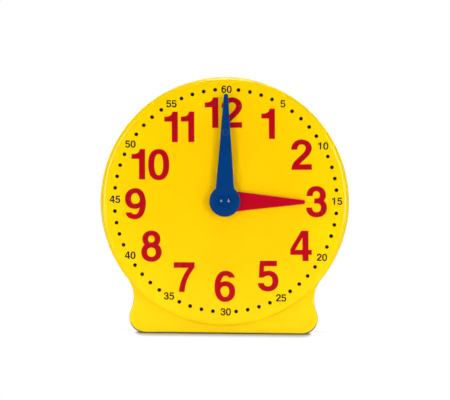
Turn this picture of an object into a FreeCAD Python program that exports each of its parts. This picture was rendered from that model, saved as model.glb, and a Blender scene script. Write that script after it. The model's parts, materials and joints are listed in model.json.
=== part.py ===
import FreeCAD, Part
import math
import os
import re
import Sketcher
from FreeCAD import Placement, Rotation, Vector
from fcgear import fcgear, involute

# Geared teaching clock: a round dial case on a wide foot, two hands turned together
# by a hidden wheel train, a setting knob at the back and a fold-down rear leg.
#
# Every piece is drawn lying down in dial coordinates: x to the right, y up the dial and
# z out of the dial towards the reader.  Its Placement then stands it upright, so the
# finished clock has +Z up, faces -Y and rests on z = 0.

# Driving sizes in millimetres, degrees or plain counts.
SIZES = {
    # case
    "dial_radius": 165.0,
    "dial_clearance": 11.0,          # the dial's lowest point above the table
    "base_half_width": 125.5,
    "corner_radius": 21.3,           # round ends of the foot
    "flank_radius": 42.5,            # hollow between the foot and the dial
    "base_depth": 26.0,              # foot, front to back
    "dial_step": 9.0,                # the dial stands this far proud of the foot
    "shoulder_radius": 8.0,
    "base_edge_radius": 2.5,
    "wall": 2.5,
    # rear cover and its screws
    "cover_thickness": 2.5,
    "cover_clearance": 0.3,
    "boss_radius": 4.5,
    "boss_rim_distance": 14.0,       # screw bosses, in from the dial's edge
    "corner_boss_inset": 25.5,       # in from the widest point of the foot
    "corner_boss_height": 18.0,
    "screw_radius": 1.3,
    "screw_length": 9.0,
    "screw_head_radius": 2.8,
    "screw_head_height": 1.6,
    "screw_slot_width": 0.8,
    "screw_hole_clearance": 0.3,
    "screw_recess": 1.2,
    "pilot_extra_depth": 2.0,
    # keyhole for hanging the clock on a wall screw
    "keyhole_rise": 120.0,           # above the dial axis
    "keyhole_radius": 4.5,
    "keyhole_slot_radius": 2.2,
    "keyhole_travel": 9.0,
    # fits
    "running_clearance": 0.08,       # radial, a shaft turning in a bore
    "seat_clearance": 0.03,          # radial or on a flat, pieces pressed together
    "end_play": 0.5,
    "face_clearance": 0.1,
    # centre shafts and the bearing boss
    "arbor_radius": 3.0,
    "arbor_end_radius": 2.4,
    "flat_share": 0.75,              # where the driving flat cuts a shaft's radius
    "tube_radius": 6.5,
    "tube_seat_radius": 5.5,
    "bearing_wall": 4.0,
    "bearing_boss_height": 4.0,
    # wheel train
    "gear_module": 1.5,
    "pressure_angle": 25.0,
    "profile_shift": -0.12,          # thins the teeth and so gives the backlash
    "cannon_teeth": 15,
    "hour_pinion_teeth": 12,
    "hour_gear_width": 4.0,
    "minute_gear_width": 4.5,
    "gear_layer_gap": 2.0,
    "axle_radius": 2.0,
    "axle_boss_wall": 3.5,
    "axle_depth": 3.0,
    # bridge that carries the rear ends of the arbor and the axle
    "bridge_thickness": 2.5,
    "bridge_half_width": 8.0,
    "post_radius": 4.0,
    "post_clearance": 2.0,
    "post_drop": 8.0,
    # friction clip behind the bridge
    "washer_radius": 6.0,
    "washer_thickness": 0.6,
    "clip_radius": 5.0,
    "clip_thickness": 0.7,
    "clip_groove_depth": 0.6,
    # hour hand
    "hand_lift": 1.5,                # under the hour hand, above the dial
    "hour_hand_length": 106.1,
    "hour_hand_hub_radius": 18.0,
    "hour_hand_neck_width": 27.3,
    "hour_hand_tip_radius": 2.8,
    "hour_hand_thickness": 3.0,
    # minute hand
    "hand_gap": 1.2,                 # between the two hands
    "minute_hand_length": 142.0,
    "minute_hand_hub_radius": 20.5,
    "minute_hand_neck_width": 24.3,
    "minute_hand_tip_radius": 2.9,
    "minute_hand_thickness": 3.3,
    "hand_edge_radius": 0.9,
    "hand_neck_fillet": 4.0,         # where a blade flares into its hub
    "peg_distance": 91.1,            # finger peg, from the dial axis
    "peg_radius": 4.4,
    "peg_height": 0.8,
    "peg_edge_radius": 0.5,
    "peg_dimple_radius": 3.2,
    "peg_dimple_depth": 0.5,
    # domed cap on the arbor
    "cap_radius": 8.0,
    "cap_dome_radius": 12.5,
    "cap_rim": 1.0,
    "cap_roof": 1.6,
    # setting knob
    "knob_radius": 17.0,
    "knob_height": 11.0,
    "knob_gap": 1.0,
    "knob_seat": 8.0,
    "knob_edge_radius": 1.2,
    "knob_flutes": 12,
    "flute_radius": 2.4,
    "flute_depth": 1.2,
    "arbor_hole_clearance": 0.5,
    # fold-down rear leg
    "leg_length": 92.0,              # hinge to foot
    "leg_width": 64.0,
    "leg_thickness": 4.0,
    "leg_rib_width": 2.0,
    "leg_rib_height": 1.2,
    "leg_rib_inset": 11.0,
    "hinge_height": 45.0,
    "hinge_depth": 4.0,              # hinge axis in front of the case's back
    "hinge_barrel_radius": 3.5,
    "pin_radius": 2.0,
    "pin_boss_radius": 3.4,
    "pin_boss_length": 3.0,
    "foot_radius": 3.5,
    # recess that holds the folded leg
    "recess_depth": 8.0,
    "recess_wall": 2.0,
    "recess_side_clearance": 1.0,
    "recess_end_clearance": 1.5,
    "leg_stop_clearance": 0.2,
    "scoop_radius": 11.0,            # finger scoop over the leg's foot
}

# Sizes that follow from the driving ones, in order.
DERIVED = {
    "dial_height": "dial_clearance + dial_radius",
    "back": "-base_depth / 2",
    "base_front": "base_depth / 2",
    "face": "base_front + dial_step",
    "inner_face": "face - wall",
    "shoulder": "min(shoulder_radius; dial_step - base_edge_radius / 5)",
    "inner_shoulder": "max(shoulder - wall; wall / 5)",
    "cavity_radius": "dial_radius - wall",
    "cover_inset": "wall + cover_clearance",
    "cover_front": "back + cover_thickness",
    "boss_ring": "dial_radius - boss_rim_distance",
    "corner_boss_x": "base_half_width - corner_boss_inset",
    "pilot_radius": "screw_radius + seat_clearance",
    "screw_hole_radius": "screw_radius + screw_hole_clearance",
    "screw_sink_radius": "screw_head_radius + screw_hole_clearance",
    # stack of the wheel train, from the dial backwards
    "bearing_end": "inner_face - bearing_boss_height",
    "bearing_radius": "tube_radius + running_clearance",
    "hour_gear_front": "bearing_end - end_play",
    "hour_gear_back": "hour_gear_front - hour_gear_width",
    "minute_gear_front": "hour_gear_back - gear_layer_gap",
    "minute_gear_back": "minute_gear_front - minute_gear_width",
    "bridge_front": "minute_gear_back - end_play",
    "bridge_back": "bridge_front - bridge_thickness",
    "washer_back": "bridge_back - face_clearance - washer_thickness",
    "clip_back": "washer_back - clip_thickness",
    # tooth counts: 3 to 1 behind the minute hand, then 4 to 1 to the hour hand
    "minute_wheel_teeth": "3 * cannon_teeth",
    "hour_wheel_teeth": "4 * hour_pinion_teeth",
    "centre_distance": "gear_module * (cannon_teeth + minute_wheel_teeth) / 2",
    "hour_module": "2 * centre_distance / (hour_pinion_teeth + hour_wheel_teeth)",
    "minute_wheel_tip": "gear_module * (minute_wheel_teeth / 2 + 1)",
    "hour_wheel_tip": "hour_module * (hour_wheel_teeth / 2 + 1)",
    "side_post_x": "hour_wheel_tip + post_clearance + post_radius",
    "top_post_y": "centre_distance + minute_wheel_tip + post_clearance + post_radius",
    # stack of the hands, from the dial forwards
    "hour_hand_back": "face + hand_lift",
    "hour_hand_front": "hour_hand_back + hour_hand_thickness",
    "minute_hand_back": "hour_hand_front + hand_gap",
    "minute_hand_front": "minute_hand_back + minute_hand_thickness",
    "peg_front": "minute_hand_front + peg_height",
    "peg_dimple_sphere": "(peg_dimple_radius ^ 2 + peg_dimple_depth ^ 2) / (2 * peg_dimple_depth)",
    "cap_height": "cap_rim + cap_dome_radius - sqrt(cap_dome_radius ^ 2 - cap_radius ^ 2)",
    "arbor_front": "minute_hand_front + cap_height - cap_roof",
    "knob_front": "back - knob_gap",
    "knob_back": "knob_front - knob_height",
    "arbor_back": "knob_front - knob_seat",
    "flute_ring": "knob_radius + flute_radius - flute_depth",
    # rear leg, in its recess and let down until its foot stands on the table
    "hinge_z": "back + hinge_depth",
    "leg_slope": "asin((hinge_height - foot_radius) / leg_length)",
    "leg_swing": "leg_slope + 90 deg",
    "recess_half_width": "leg_width / 2 + recess_side_clearance",
    "recess_top": "hinge_height + leg_length + foot_radius + recess_end_clearance",
    "lip_drop": "(hinge_depth * sin(leg_slope) + leg_thickness / 2) / cos(leg_slope)",
    "recess_bottom": "hinge_height - lip_drop - leg_stop_clearance",
    "recess_length": "recess_top - recess_bottom",
    "pin_length": "2 * (recess_half_width + recess_wall + pin_boss_length)",
    "rib_start": "3 * hinge_barrel_radius",
    "rib_length": "leg_length - rib_start - foot_radius",
}

doc = FreeCAD.newDocument("teaching_clock")
sheet = doc.addObject("Spreadsheet::Sheet", "sizes")
for row, (name, value) in enumerate({**SIZES, **DERIVED}.items(), start=1):
    sheet.set(f"A{row}", name)
    sheet.set(f"B{row}", f"={value}" if name in DERIVED else str(value))
    sheet.setAlias(f"B{row}", name)
doc.recompute()


def size(name):
    """Value of one named size, as a plain number."""
    found = sheet.get(name)
    return float(getattr(found, "Value", found))


def on_sheet(formula):
    """The formula with the sheet put before each named size, as an expression needs it."""
    named = re.compile(r"[a-z_]+")
    return named.sub(lambda word: f"sizes.{word[0]}" if word[0] in SIZES or word[0] in DERIVED
                     else word[0], formula)


def bind(thing, **formulas):
    """Tie properties of an object to the sheet; a double underscore stands for a dot."""
    for path, formula in formulas.items():
        thing.setExpression(path.replace("__", "."), on_sheet(formula))


# --- plain solids ---------------------------------------------------------------------

ALONG_X = Rotation(Vector(0, 1, 0), 90)
ALONG_Z = Rotation()


def place(thing, x, y, z, turn=ALONG_Z):
    thing.Placement = Placement(Vector(), turn)
    bind(thing, Placement__Base__x=x, Placement__Base__y=y, Placement__Base__z=z)
    return thing


def cylinder(name, radius, height, x="0", y="0", z="0", turn=ALONG_Z):
    """Round bar that starts at the given point and runs along its own axis."""
    thing = doc.addObject("Part::Cylinder", name)
    bind(thing, Radius=radius, Height=height)
    return place(thing, x, y, z, turn)


def block(name, width, length, height, x="0", y="0", z="0"):
    """Box centred on x, that starts at the given y and z."""
    thing = doc.addObject("Part::Box", name)
    bind(thing, Length=width, Width=length, Height=height)
    return place(thing, f"{x} - ({width}) / 2", y, z)


def fuse(name, *pieces):
    thing = doc.addObject("Part::MultiFuse", name)
    thing.Shapes = list(pieces)
    return thing


def cut(name, base, *tools):
    """The base less every tool."""
    thing = doc.addObject("Part::Cut", name)
    thing.Base = base
    thing.Tool = tools[0] if len(tools) == 1 else fuse(f"{name}_tools", *tools)
    return thing


def common(name, first, second):
    thing = doc.addObject("Part::Common", name)
    thing.Base = first
    thing.Tool = second
    return thing


# --- sketches and bodies --------------------------------------------------------------

# A sketch counts a curve's points up from 1, and its own axes down from -1.
START, END, CENTRE = range(1, 4)
X_AXIS, Y_AXIS = range(-1, -3, -1)
ORIGIN = (X_AXIS, START)


def new_body(name):
    return doc.addObject("PartDesign::Body", name)


def new_sketch(body, name, level):
    """Sketch on the body's XY plane, raised to the given level."""
    sketch = body.newObject("Sketcher::SketchObject", name)
    plane = [item for item in body.Origin.OriginFeatures if item.Role == "XY_Plane"][0]
    sketch.AttachmentSupport = (plane, [""])
    sketch.MapMode = "FlatFace"
    bind(sketch, AttachmentOffset__Base__z=level)
    return sketch


def constrain(sketch, name, formula, kind, *places):
    """Dimension of a sketch that follows the sheet."""
    index = sketch.addConstraint(Sketcher.Constraint(kind, *places, size_of(formula)))
    sketch.renameConstraint(index, name)
    bind(sketch, **{f"Constraints.{name}": formula})


def size_of(formula):
    """A formula's present value, for the first draft of a sketch."""
    probe = sheet.evalExpression(on_sheet(formula))
    return float(getattr(probe, "Value", probe))


def arc(centre_x, centre_y, radius, start, end):
    """Counter-clockwise arc between two angles in radians."""
    circle = Part.Circle(Vector(centre_x, centre_y, 0), Vector(0, 0, 1), radius)
    return Part.ArcOfCircle(circle, start, end)


def pad(body, sketch, height):
    feature = body.newObject("PartDesign::Pad", f"{sketch.Name}_pad")
    feature.Profile = sketch
    bind(feature, Length=height)
    doc.recompute()
    return feature


def pocket(body, sketch, depth):
    """Cut along the sketch's normal, which has to remove material."""
    before = body.Shape.Volume
    feature = body.newObject("PartDesign::Pocket", f"{sketch.Name}_pocket")
    feature.Profile = sketch
    feature.Reversed = True
    bind(feature, Length=depth)
    doc.recompute()
    if body.Shape.Volume > before - 1.0:
        raise RuntimeError(f"{sketch.Name} cuts nothing")
    return feature


def round_edges(body, name, radius, wanted):
    """Fillet on the edges of the body's tip that pass the test."""
    tip = body.Tip
    edges = [f"Edge{number}" for number, edge in enumerate(tip.Shape.Edges, start=1) if wanted(edge)]
    feature = body.newObject("PartDesign::Fillet", name)
    feature.Base = (tip, edges)
    bind(feature, Radius=radius)
    doc.recompute()
    return feature


def at_level(level, tolerance=1e-4):
    """Test for an edge that lies flat at one height."""
    def flat(edge):
        return abs(edge.BoundBox.ZMin - level) < tolerance and abs(edge.BoundBox.ZMax - level) < tolerance
    return flat


def standing_at(distance, tolerance=1e-3):
    """Test for an upright edge at one distance from the body's z axis."""
    def upright(edge):
        box = edge.BoundBox
        corner = edge.Vertexes[0].Point
        stands = box.ZLength > tolerance and box.DiagonalLength < box.ZLength + tolerance
        return stands and abs(math.hypot(corner.x, corner.y) - distance) < tolerance
    return upright


def circle_sketch(body, name, radius, level):
    """One circle round the body's own z axis."""
    sketch = new_sketch(body, name, level)
    sketch.addGeometry(Part.Circle(Vector(), Vector(0, 0, 1), size_of(radius)))
    sketch.addConstraint(Sketcher.Constraint("Coincident", 0, CENTRE, *ORIGIN))
    constrain(sketch, "radius", radius, "Radius", 0)
    return sketch


def dial_circle(body, name, radius, level):
    """One circle round the dial axis, which lies up the y axis."""
    sketch = new_sketch(body, name, level)
    sketch.addGeometry(Part.Circle(Vector(0, size("dial_height"), 0), Vector(0, 0, 1), size_of(radius)))
    sketch.addConstraint(Sketcher.Constraint("PointOnObject", 0, CENTRE, Y_AXIS))
    constrain(sketch, "rise", "dial_height", "DistanceY", *ORIGIN, 0, CENTRE)
    constrain(sketch, "radius", radius, "Radius", 0)
    return sketch


def case_outline(body, name, inset, level):
    """Round dial, hollow flanks and flat-bottomed foot in one smooth line, set in all round."""
    rim = size_of(f"dial_radius - ({inset})")
    flank = size_of(f"flank_radius + {inset}")
    corner = size_of(f"corner_radius - ({inset})")
    corner_x = size("base_half_width") - size("corner_radius")
    corner_y = size("corner_radius")
    dial_y = size("dial_height")
    # The flank's centre lies a radius outside both the dial and the corner.
    to_dial = size("dial_radius") + size("flank_radius")
    to_corner = size("corner_radius") + size("flank_radius")
    apart = math.hypot(corner_x, dial_y - corner_y)
    along = (to_corner ** 2 - to_dial ** 2 + apart ** 2) / (2 * apart)
    aside = math.sqrt(to_corner ** 2 - along ** 2)
    flank_x = corner_x + (-corner_x * along + (dial_y - corner_y) * aside) / apart
    flank_y = corner_y + ((dial_y - corner_y) * along + corner_x * aside) / apart
    dial_turn = math.atan2(dial_y - flank_y, flank_x)
    corner_turn = math.atan2(flank_y - corner_y, flank_x - corner_x)

    sketch = new_sketch(body, name, level)
    dial, right_flank, right_corner, bottom, left_corner, left_flank = range(6)
    sketch.addGeometry([
        arc(0, dial_y, rim, -dial_turn, math.pi + dial_turn),
        arc(flank_x, flank_y, flank, math.pi - dial_turn, math.pi + corner_turn),
        arc(corner_x, corner_y, corner, -math.pi / 2, corner_turn),
        Part.LineSegment(Vector(-corner_x, corner_y - corner, 0), Vector(corner_x, corner_y - corner, 0)),
        arc(-corner_x, corner_y, corner, math.pi - corner_turn, 3 * math.pi / 2),
        arc(-flank_x, flank_y, flank, -corner_turn, dial_turn),
    ])
    sketch.addConstraint([
        Sketcher.Constraint("Tangent", dial, START, right_flank, START),
        Sketcher.Constraint("Tangent", right_flank, END, right_corner, END),
        Sketcher.Constraint("Tangent", right_corner, START, bottom, END),
        Sketcher.Constraint("Tangent", bottom, START, left_corner, END),
        Sketcher.Constraint("Tangent", left_corner, START, left_flank, START),
        Sketcher.Constraint("Tangent", left_flank, END, dial, END),
        Sketcher.Constraint("Equal", right_flank, left_flank),
        Sketcher.Constraint("Equal", right_corner, left_corner),
        Sketcher.Constraint("PointOnObject", dial, CENTRE, Y_AXIS),
        Sketcher.Constraint("Symmetric", right_corner, CENTRE, left_corner, CENTRE, Y_AXIS),
    ])
    constrain(sketch, "rim", f"dial_radius - ({inset})", "Radius", dial)
    constrain(sketch, "flank", f"flank_radius + {inset}", "Radius", right_flank)
    constrain(sketch, "corner", f"corner_radius - ({inset})", "Radius", right_corner)
    constrain(sketch, "rise", "dial_height", "DistanceY", *ORIGIN, dial, CENTRE)
    constrain(sketch, "corner_rise", "corner_radius", "DistanceY", *ORIGIN, right_corner, CENTRE)
    constrain(sketch, "corner_reach", "base_half_width - corner_radius", "DistanceX",
              *ORIGIN, right_corner, CENTRE)
    return sketch


def hand_body(name, hub, neck, tip, length, thickness, level):
    """Flat hand: a round hub and a blade that narrows to a round tip, with soft front edges."""
    hub_radius, half_neck, tip_radius = size_of(hub), size_of(neck) / 2, size_of(tip)
    tip_y = size_of(length) - tip_radius
    neck_y = math.sqrt(hub_radius ** 2 - half_neck ** 2)
    # Angle at which the straight side leaves the neck and touches the tip's arc.
    reach = math.hypot(half_neck, tip_y - neck_y)
    side = math.atan2(half_neck, tip_y - neck_y) - math.asin(tip_radius / reach)
    touch = Vector(tip_radius * math.cos(side), tip_y + tip_radius * math.sin(side), 0)
    neck_turn = math.atan2(neck_y, half_neck)

    body = new_body(name)
    sketch = new_sketch(body, f"{name}_outline", level)
    hub_arc, right_side, tip_arc, left_side = range(4)
    sketch.addGeometry([
        arc(0, 0, hub_radius, math.pi - neck_turn, 2 * math.pi + neck_turn),
        Part.LineSegment(Vector(half_neck, neck_y, 0), touch),
        arc(0, tip_y, tip_radius, side, math.pi - side),
        Part.LineSegment(Vector(-touch.x, touch.y, 0), Vector(-half_neck, neck_y, 0)),
    ])
    sketch.addConstraint([
        Sketcher.Constraint("Coincident", hub_arc, CENTRE, *ORIGIN),
        Sketcher.Constraint("Coincident", hub_arc, END, right_side, START),
        Sketcher.Constraint("Tangent", right_side, END, tip_arc, START),
        Sketcher.Constraint("Tangent", tip_arc, END, left_side, START),
        Sketcher.Constraint("Coincident", left_side, END, hub_arc, START),
        Sketcher.Constraint("PointOnObject", tip_arc, CENTRE, Y_AXIS),
        Sketcher.Constraint("Horizontal", hub_arc, START, hub_arc, END),
    ])
    constrain(sketch, "hub", hub, "Radius", hub_arc)
    constrain(sketch, "tip", tip, "Radius", tip_arc)
    constrain(sketch, "reach", f"{length} - {tip}", "DistanceY", *ORIGIN, tip_arc, CENTRE)
    constrain(sketch, "neck", f"{neck} / 2", "DistanceX", *ORIGIN, right_side, START)
    pad(body, sketch, thickness)
    round_edges(body, f"{name}_neck", "hand_neck_fillet", standing_at(hub_radius))
    front = size_of(f"{level} + {thickness}")
    round_edges(body, f"{name}_edge", "hand_edge_radius", at_level(front))
    return body


# --- gears ----------------------------------------------------------------------------

def gear(name, teeth, module, back, width, tooth_turn):
    """Involute gear blank; one tooth points along the given angle in degrees."""
    profile = fcgear.FCWireBuilder()
    involute.CreateExternalGear(profile, size(module), int(size(teeth)), size("pressure_angle"),
                                shiftCoeff=size("profile_shift"))
    wire = Part.Wire([segment.toShape() for segment in profile.wire])
    blank = Part.Face(wire).extrude(Vector(0, 0, size_of(width)))
    # The profile's first tooth lies on the x axis.
    turn = Rotation(Vector(0, 0, 1), tooth_turn)
    thing = doc.addObject("Part::Feature", name)
    thing.Shape = blank
    thing.Placement = Placement(Vector(0, 0, size_of(back)), turn)
    return thing


def gap_at(angle, teeth):
    """Angle for a tooth when the gap next to it has to point along the given angle."""
    return angle + 180.0 / int(size(teeth))


# --- finished pieces ------------------------------------------------------------------

UPRIGHT = Rotation(Vector(1, 0, 0), 90)
nodes = {}


def finish(label, thing, x="0", y="0", z="0", turn=UPRIGHT):
    """Stand a piece upright at a point given in dial coordinates, and name it."""
    thing.Label = label
    place(thing, x, f"-({z})", y, turn)
    nodes[label] = thing
    return thing


def polar_points(ring, count, start=0.0):
    """Formulas of the x and y of points spread evenly round a circle."""
    for step in range(count):
        angle = start + 360.0 * step / count
        yield f"{ring} * cos({angle} deg)", f"{ring} * sin({angle} deg)"


def cover_screw_points():
    """Six points round the dial and one in each end of the foot, from the table up."""
    for x, y in polar_points("boss_ring", 6):
        yield x, f"dial_height + {y}", "inner_face"
    for side in ("-", ""):
        yield f"{side}corner_boss_x", "corner_boss_height", "base_front - wall"


def bridge_post_points():
    """Two posts beside the dial axis and one over the wheel, about the dial axis."""
    return [("-side_post_x", "-post_drop"), ("side_post_x", "-post_drop"), ("0", "top_post_y")]


def make_front_shell():
    """Moulded front: dial and foot in one hollow shell, open at the back."""
    body = new_body("shell_body")
    pad(body, case_outline(body, "foot_outline", "0", "back"), "base_depth")
    round_edges(body, "foot_edge", "base_edge_radius", at_level(size("base_front")))
    pad(body, dial_circle(body, "dial_disc", "dial_radius", "back"), "face - back")
    round_edges(body, "dial_shoulder", "shoulder", at_level(size("face")))
    pocket(body, case_outline(body, "foot_cavity", "wall", "back"), "base_depth - wall")
    pocket(body, dial_circle(body, "dial_cavity", "cavity_radius", "back"), "inner_face - back")
    round_edges(body, "cavity_shoulder", "inner_shoulder", at_level(size("inner_face")))

    bosses, holes = [], []
    for number, (x, y, root) in enumerate(cover_screw_points(), start=1):
        bosses.append(cylinder(f"cover_boss_{number}", "boss_radius",
                               f"{root} + wall / 2 - cover_front", x, y, "cover_front"))
        holes.append(cylinder(f"cover_pilot_{number}", "pilot_radius",
                              "screw_length + pilot_extra_depth", x, y, "cover_front"))
    for number, (x, y) in enumerate(bridge_post_points(), start=1):
        height = f"dial_height + {y}"
        bosses.append(cylinder(f"bridge_post_{number}", "post_radius",
                               "inner_face + wall / 2 - bridge_front", x, height, "bridge_front"))
        holes.append(cylinder(f"bridge_pilot_{number}", "pilot_radius",
                              "screw_length + pilot_extra_depth", x, height, "bridge_front"))
    bosses.append(cylinder("bearing_boss", "bearing_radius + bearing_wall",
                           "bearing_boss_height + wall / 2", "0", "dial_height", "bearing_end"))
    holes.append(cylinder("bearing_bore", "bearing_radius", "face - bearing_end",
                          "0", "dial_height", "bearing_end"))
    axle_y = "dial_height + centre_distance"
    bosses.append(cylinder("axle_boss", "axle_radius + axle_boss_wall",
                           "bearing_boss_height + wall / 2", "0", axle_y, "bearing_end"))
    holes.append(cylinder("axle_bore", "axle_radius + seat_clearance", "axle_depth",
                          "0", axle_y, "bearing_end"))
    finish("front_shell", cut("shell_cut", fuse("shell_fuse", body, *bosses), *holes))


def make_rear_cover():
    """Back plate inside the rim, with a deep recess for the folded leg."""
    body = new_body("cover_body")
    pad(body, case_outline(body, "cover_outline", "cover_inset", "back"), "cover_thickness")
    pan_width = "2 * (recess_half_width + recess_wall)"
    pan = block("pan_outside", pan_width, "recess_length + 2 * recess_wall",
                "recess_depth + recess_wall", "0", "recess_bottom - recess_wall", "back")
    scoop = cylinder("scoop_outside", "scoop_radius + recess_wall", "recess_depth + recess_wall",
                     "0", "recess_top", "back")
    pin_bosses = [cylinder(f"pin_boss_{number}", "pin_boss_radius", "pin_boss_length + recess_wall / 2",
                           x, "hinge_height", "hinge_z", ALONG_X)
                  for number, x in enumerate(("recess_half_width + recess_wall / 2",
                                              "-pin_length / 2"), start=1)]
    solid = fuse("cover_fuse", body, pan, scoop, *pin_bosses)

    keyhole_y = "dial_height + keyhole_rise"
    slot_y = f"{keyhole_y} + keyhole_travel"
    holes = [
        block("recess", "2 * recess_half_width", "recess_length", "recess_depth",
              "0", "recess_bottom", "back"),
        cylinder("scoop", "scoop_radius", "recess_depth", "0", "recess_top", "back"),
        cylinder("pin_hole", "pin_radius + seat_clearance", "pin_length",
                 "-pin_length / 2", "hinge_height", "hinge_z", ALONG_X),
        cylinder("arbor_hole", "arbor_radius + arbor_hole_clearance", "cover_thickness",
                 "0", "dial_height", "back"),
        cylinder("keyhole_entry", "keyhole_radius", "cover_thickness", "0", keyhole_y, "back"),
        block("keyhole_slot", "2 * keyhole_slot_radius", "keyhole_travel", "cover_thickness",
              "0", keyhole_y, "back"),
        cylinder("keyhole_end", "keyhole_slot_radius", "cover_thickness", "0", slot_y, "back"),
    ]
    for number, (x, y, _) in enumerate(cover_screw_points(), start=1):
        holes.append(cylinder(f"screw_hole_{number}", "screw_hole_radius", "cover_thickness",
                              x, y, "back"))
        holes.append(cylinder(f"screw_sink_{number}", "screw_sink_radius", "screw_recess",
                              x, y, "back"))
    finish("rear_cover", cut("cover_cut", solid, *holes))


def make_screw(label, x, y, seat, length):
    """Pan-head screw, driven forwards; its head's front face lies on the seat."""
    head = cylinder(f"{label}_head", "screw_head_radius", "screw_head_height", z="-screw_head_height")
    shank = cylinder(f"{label}_shank", "screw_radius", length)
    slots = [block(f"{label}_slot_1", "2 * screw_head_radius", "screw_slot_width",
                   "screw_head_height / 2", "0", "-screw_slot_width / 2", "-screw_head_height"),
             block(f"{label}_slot_2", "screw_slot_width", "2 * screw_head_radius",
                   "screw_head_height / 2", "0", "-screw_head_radius", "-screw_head_height")]
    finish(label, cut(f"{label}_cut", fuse(f"{label}_fuse", head, shank), *slots), x, y, seat)


def make_screws():
    for number, (x, y, _) in enumerate(cover_screw_points(), start=1):
        make_screw(f"cover_screw_{number}", x, y, "back + screw_recess",
                   "screw_length + cover_thickness - screw_recess")
    for number, (x, y) in enumerate(bridge_post_points(), start=1):
        make_screw(f"bridge_screw_{number}", x, f"dial_height + {y}", "bridge_back",
                   "screw_length + bridge_thickness")


def make_gear_bridge():
    """T-shaped plate on three posts, behind the wheels."""
    bars = [
        block("bridge_cross", "2 * side_post_x", "2 * bridge_half_width", "bridge_thickness",
              "0", "-post_drop - bridge_half_width", "bridge_back"),
        block("bridge_stem", "2 * bridge_half_width", "top_post_y + post_drop", "bridge_thickness",
              "0", "-post_drop", "bridge_back"),
    ]
    holes = [
        cylinder("bridge_arbor_hole", "arbor_radius + running_clearance", "bridge_thickness",
                 z="bridge_back"),
        cylinder("bridge_axle_hole", "axle_radius + seat_clearance", "bridge_thickness",
                 y="centre_distance", z="bridge_back"),
    ]
    for number, (x, y) in enumerate(bridge_post_points(), start=1):
        bars.append(cylinder(f"bridge_end_{number}", "bridge_half_width", "bridge_thickness",
                             x, y, "bridge_back"))
        holes.append(cylinder(f"bridge_hole_{number}", "screw_hole_radius", "bridge_thickness",
                              x, y, "bridge_back"))
    finish("gear_bridge", cut("bridge_cut", fuse("bridge_fuse", *bars), *holes), y="dial_height")


def make_wheel_axle():
    """Fixed steel stud from the dial's boss to the bridge."""
    stud = cylinder("axle_stud", "axle_radius", "bearing_end + axle_depth - bridge_back")
    finish("wheel_axle", stud, y="dial_height + centre_distance", z="bridge_back")


def make_cannon_pinion():
    """Small pinion pressed on the minute arbor; a tooth points up into the large wheel."""
    teeth = gear("cannon_blank", "cannon_teeth", "gear_module", "minute_gear_back",
                 "minute_gear_width", 90)
    bore = cylinder("cannon_bore", "arbor_radius + seat_clearance", "minute_gear_width",
                    z="minute_gear_back")
    finish("cannon_pinion", cut("cannon_cut", teeth, bore), y="dial_height")


def make_transfer_gear():
    """Large wheel and small pinion moulded in one, loose on the fixed axle."""
    wheel = gear("transfer_wheel", "minute_wheel_teeth", "gear_module", "minute_gear_back",
                 "minute_gear_width", gap_at(-90, "minute_wheel_teeth"))
    pinion = gear("transfer_pinion", "hour_pinion_teeth", "hour_module", "minute_gear_front",
                  "hour_gear_front - minute_gear_front", -90)
    bore = cylinder("transfer_bore", "axle_radius + running_clearance",
                    "hour_gear_front - minute_gear_back", z="minute_gear_back")
    finish("transfer_gear", cut("transfer_cut", fuse("transfer_fuse", wheel, pinion), bore),
           y="dial_height + centre_distance")


def make_hour_wheel():
    """Hour wheel with the tube that turns in the bearing and carries the hour hand."""
    wheel = gear("hour_blank", "hour_wheel_teeth", "hour_module", "hour_gear_back",
                 "hour_gear_width", gap_at(90, "hour_wheel_teeth"))
    tube = cylinder("hour_tube", "tube_radius", "hour_hand_back - hour_gear_back", z="hour_gear_back")
    seat = cylinder("hour_tube_seat", "tube_seat_radius", "hour_hand_front - hour_gear_back",
                    z="hour_gear_back")
    bore = cylinder("hour_tube_bore", "arbor_radius + running_clearance",
                    "hour_hand_front - hour_gear_back", z="hour_gear_back")
    finish("hour_wheel", cut("hour_wheel_cut", fuse("hour_wheel_fuse", wheel, tube, seat), bore),
           y="dial_height")


def make_minute_arbor():
    """Through shaft with a driving flat at each end and a groove for the clip."""
    shaft = cylinder("arbor_shaft", "arbor_radius", "minute_hand_back - arbor_back", z="arbor_back")
    tip = cylinder("arbor_tip", "arbor_end_radius", "arbor_front - arbor_back", z="arbor_back")
    groove = cut("arbor_groove",
                 cylinder("groove_outside", "arbor_radius + clip_groove_depth", "clip_thickness",
                          z="clip_back"),
                 cylinder("groove_core", "arbor_radius - clip_groove_depth", "clip_thickness",
                          z="clip_back"))
    front_flat = block("front_flat", "arbor_radius", "2 * arbor_radius",
                       "arbor_front - minute_hand_back",
                       "flat_share * arbor_end_radius + arbor_radius / 2", "-arbor_radius",
                       "minute_hand_back")
    back_flat = block("back_flat", "arbor_radius", "2 * arbor_radius", "knob_seat",
                      "flat_share * arbor_radius + arbor_radius / 2", "-arbor_radius", "arbor_back")
    tapped = cylinder("arbor_tapped_hole", "pilot_radius", "screw_length + pilot_extra_depth",
                      z="arbor_back")
    finish("minute_arbor", cut("arbor_cut", fuse("arbor_fuse", shaft, tip), groove, front_flat,
                               back_flat, tapped), y="dial_height")


def flatted_bore(name, radius, height, level):
    """Bore with the flat that keys it to the arbor."""
    seat = f"{radius} + seat_clearance"
    bore = cylinder(f"{name}_round", seat, height, z=level)
    keep = block(f"{name}_flat", f"flat_share * {radius} + {radius} + 3 * seat_clearance",
                 f"2 * {radius} + 4 * seat_clearance", height,
                 f"(flat_share * {radius} - {radius} - seat_clearance) / 2",
                 f"-{radius} - 2 * seat_clearance", level)
    return common(name, bore, keep)


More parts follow.
